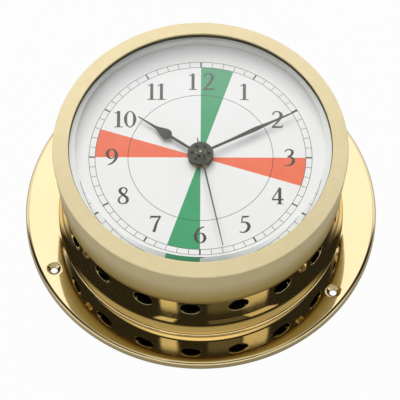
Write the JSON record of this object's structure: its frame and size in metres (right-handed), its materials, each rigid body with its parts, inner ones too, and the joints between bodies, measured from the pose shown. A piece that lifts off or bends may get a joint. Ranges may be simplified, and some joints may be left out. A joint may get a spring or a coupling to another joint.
{
  "type": "ship's deck clock",
  "caption": "Round brass ship's clock with a vented drum case on a screw-down flange, a bevelled glass, a watch-sector dial with three hands, and a geared quartz movement.",
  "frame": {"origin": "centre of the flange's back face, which rests on the bulkhead or table", "axes": "+Z comes out of the dial along the hands' axis, +Y points to 12 o'clock, +X to 3 o'clock"},
  "size_m": [0.15, 0.15, 0.058],
  "materials": {
    "polished_brass": "polished and lacquered",
    "satin_brass": "fine satin, lacquered",
    "screw_brass": "plain",
    "raw_brass": "turned",
    "crystal_glass": "clear with a polished bevel",
    "black_rubber": "matt",
    "spacer_white": "satin",
    "dial_white": "satin with printed scale",
    "black_plastic": "fine grain",
    "white_plastic": "moulded",
    "steel": "plain",
    "copper_wire": "enamelled wire",
    "green_board": "solder mask",
    "cell_jacket": "printed sleeve",
    "hand_olive": "satin gunmetal",
    "magnet_grey": "plain"
  },
  "bodies": {
    "case": {"mounting_flange": "polished_brass", "case_drum": "polished_brass", "side_screws": "screw_brass", "bezel_ring": "satin_brass", "crystal": "crystal_glass", "crystal_gasket": "black_rubber", "dial_spacer_ring": "spacer_white", "dial_plate": "dial_white", "instrument_frame": "black_plastic", "movement_washer": "black_rubber", "threaded_bush": "raw_brass", "dial_washer": "raw_brass", "dial_nut": "raw_brass", "movement_front_case": "black_plastic", "movement_rear_case": "black_plastic", "movement_screws": "steel", "gear_bridge": "white_plastic", "stator": "steel", "coil_core": "steel", "coil_bobbin": "white_plastic", "coil_winding": "copper_wire", "circuit_board": "green_board", "control_chip": "black_plastic", "quartz_can": "steel", "cell": "cell_jacket", "cell_contact_plus": "steel", "cell_contact_minus": "steel"},
    "seconds": {"second_hand": "hand_olive", "second_wheel": "raw_brass"},
    "minutes": {"minute_hand": "hand_olive", "minute_wheel": "raw_brass"},
    "hours": {"hour_hand": "hand_olive", "hour_wheel": "raw_brass"},
    "third": {"third_wheel": "raw_brass"},
    "setting": {"setting_wheel": "raw_brass", "setting_knob": "black_plastic"},
    "reduction": {"reduction_wheel": "white_plastic"},
    "rotor": {"rotor_magnet": "magnet_grey", "rotor_pinion": "white_plastic"}
  },
  "joints": [
    {"name": "second_hand_turn", "type": "hinge", "parent": "case", "child": "seconds", "pos_m": [0, 0, 0.04], "axis": [0, 0, -1], "continuous": true},
    {"name": "minute_hand_turn", "type": "hinge", "parent": "case", "child": "minutes", "pos_m": [0, 0, 0.04], "axis": [0, 0, -1], "continuous": true},
    {"name": "hour_hand_turn", "type": "hinge", "parent": "case", "child": "hours", "pos_m": [0, 0, 0.04], "axis": [0, 0, -1], "continuous": true},
    {"name": "third_wheel_turn", "type": "hinge", "parent": "case", "child": "third", "pos_m": [0.00264, 0.00985, 0.036], "axis": [0, 0, -1], "continuous": true},
    {"name": "setting_wheel_turn", "type": "hinge", "parent": "case", "child": "setting", "pos_m": [-0.01159, 0.00311, 0.04], "axis": [0, 0, -1], "continuous": true},
    {"name": "reduction_wheel_turn", "type": "hinge", "parent": "case", "child": "reduction", "pos_m": [0.00768, -0.00135, 0.032], "axis": [0, 0, -1], "continuous": true},
    {"name": "rotor_turn", "type": "hinge", "parent": "case", "child": "rotor", "pos_m": [0.01457, -0.00257, 0.034], "axis": [0, 0, -1], "continuous": true}
  ],
  "couplings": [
    {"joint": "minute_hand_turn", "follows": "second_hand_turn", "ratio": 0.016667},
    {"joint": "hour_hand_turn", "follows": "second_hand_turn", "ratio": 0.0013889},
    {"joint": "third_wheel_turn", "follows": "second_hand_turn", "ratio": -0.13333},
    {"joint": "setting_wheel_turn", "follows": "second_hand_turn", "ratio": -0.0055556},
    {"joint": "reduction_wheel_turn", "follows": "second_hand_turn", "ratio": -5},
    {"joint": "rotor_turn", "follows": "second_hand_turn", "ratio": 30}
  ]
}
